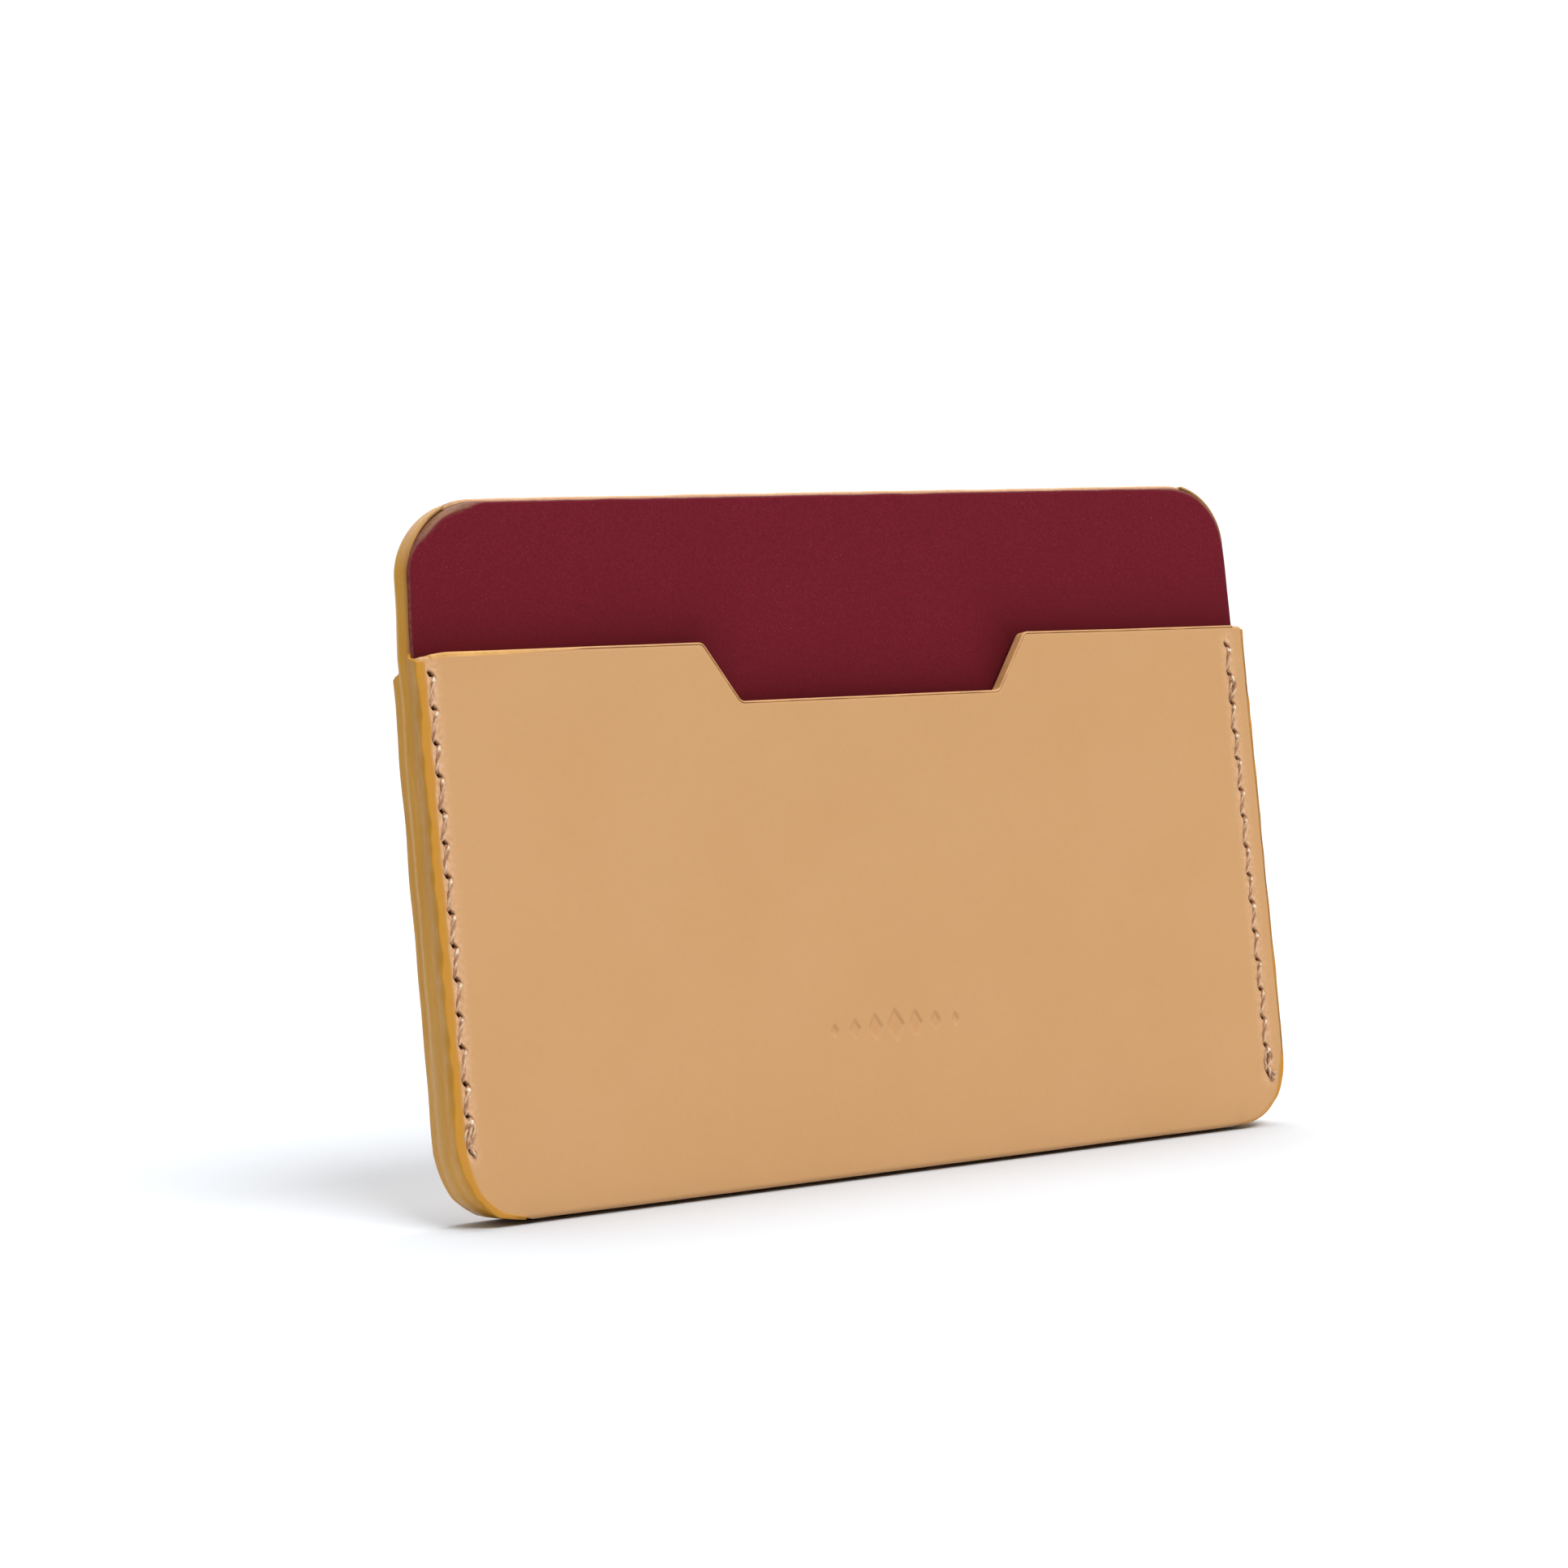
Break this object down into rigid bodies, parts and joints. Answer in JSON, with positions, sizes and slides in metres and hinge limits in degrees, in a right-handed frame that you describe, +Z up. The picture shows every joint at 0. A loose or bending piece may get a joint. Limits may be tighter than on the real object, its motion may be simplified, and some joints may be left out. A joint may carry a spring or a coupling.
{
  "type": "card holder",
  "caption": "Slim folded leather card holder: two stitched pockets on a taller round-cornered centre panel, with a thumb notch in the front pocket.",
  "frame": {"origin": "middle of the bounding box in X and Y, on the flat foot of the bottom fold", "axes": "+X across the width, to the right seen from the front; +Y towards the back, so the notched front pocket faces -Y; +Z up towards the pocket mouths"},
  "size_m": [0.1024, 0.0068, 0.0725],
  "materials": {
    "tan_leather": "smooth full grain, light satin",
    "tan_core_leather": "smooth full grain, cut edges burnished",
    "burgundy_leather": "smooth fine grain, matt",
    "waxed_thread": "twisted, waxed",
    "edge_paint": "satin flexible edge paint"
  },
  "bodies": {
    "root": {"outer_shell": "tan_leather", "panel_lining": "burgundy_leather", "panel_core": "tan_core_leather", "left_seam_thread": "waxed_thread", "right_seam_thread": "waxed_thread", "left_edge_paint": "edge_paint", "right_edge_paint": "edge_paint", "front_mouth_paint": "edge_paint", "back_mouth_paint": "edge_paint"}
  },
  "joints": []
}
